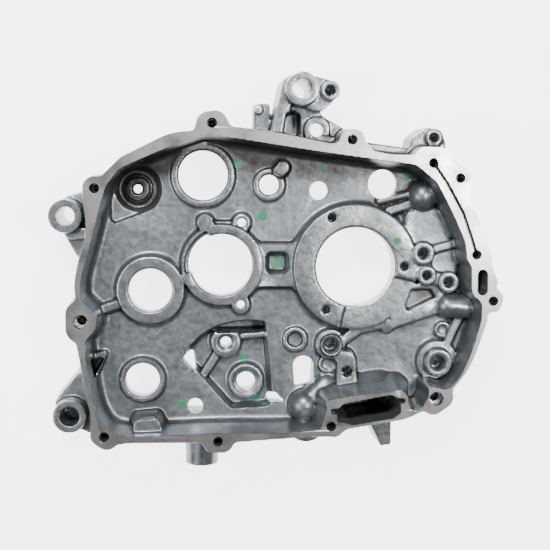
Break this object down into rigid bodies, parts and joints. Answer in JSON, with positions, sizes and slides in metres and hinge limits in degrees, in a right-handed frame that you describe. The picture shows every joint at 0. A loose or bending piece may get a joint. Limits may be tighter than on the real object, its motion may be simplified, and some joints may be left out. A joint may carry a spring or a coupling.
{
  "type": "engine crankcase half",
  "caption": "Cast aluminium crankcase half of a small motorcycle engine, clutch side, with open bearing bores, ribbed walls, a flat gasket rim and engine mount tubes.",
  "frame": {"origin": "crankshaft axis, at the height of the clutch-side floor of the bearing wall, inside the crankshaft bearing seat", "axes": "+Z along the crankshaft, out of the clutch side and towards the clutch cover; +Y to the cylinder deck side, along the joint face; +X to the front of the engine, away from the gearbox"},
  "size_m": [0.2934, 0.2602, 0.066],
  "materials": {
    "cast_aluminium": "as cast, with machined rims and bores"
  },
  "bodies": {
    "root": {"crankcase_half": "cast_aluminium"}
  },
  "joints": []
}
